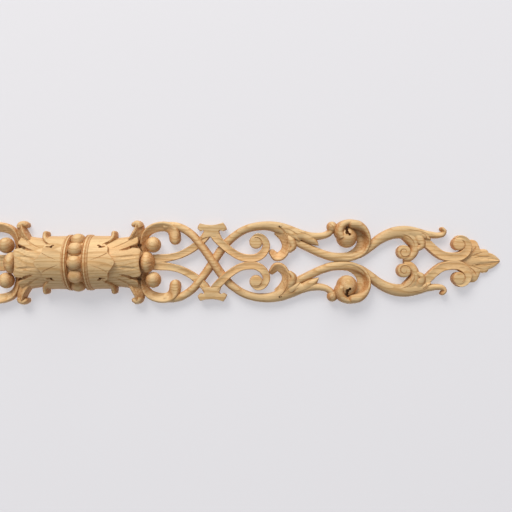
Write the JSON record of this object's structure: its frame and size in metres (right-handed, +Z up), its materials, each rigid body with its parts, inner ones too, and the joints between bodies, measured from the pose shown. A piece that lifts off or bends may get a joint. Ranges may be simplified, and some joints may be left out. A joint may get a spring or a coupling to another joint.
{
  "type": "carved scroll onlay",
  "caption": "Long pierced onlay carved from one board: a beaded half-round collar between two mirrored wings of interlaced acanthus scrolls that end in pointed leaves.",
  "frame": {"origin": "middle of the flat back, behind the middle of the beaded collar", "axes": "+X along the onlay to the right as seen from the front, +Z up across it, +Y out of the flat back towards the surface it is fixed to, so the carving faces -Y"},
  "size_m": [1, 0.0381, 0.099],
  "materials": {
    "wood": "unfinished pale hardwood, smooth from the knife, with open grain along the length"
  },
  "bodies": {
    "root": {"scroll_onlay": "wood"}
  },
  "joints": []
}
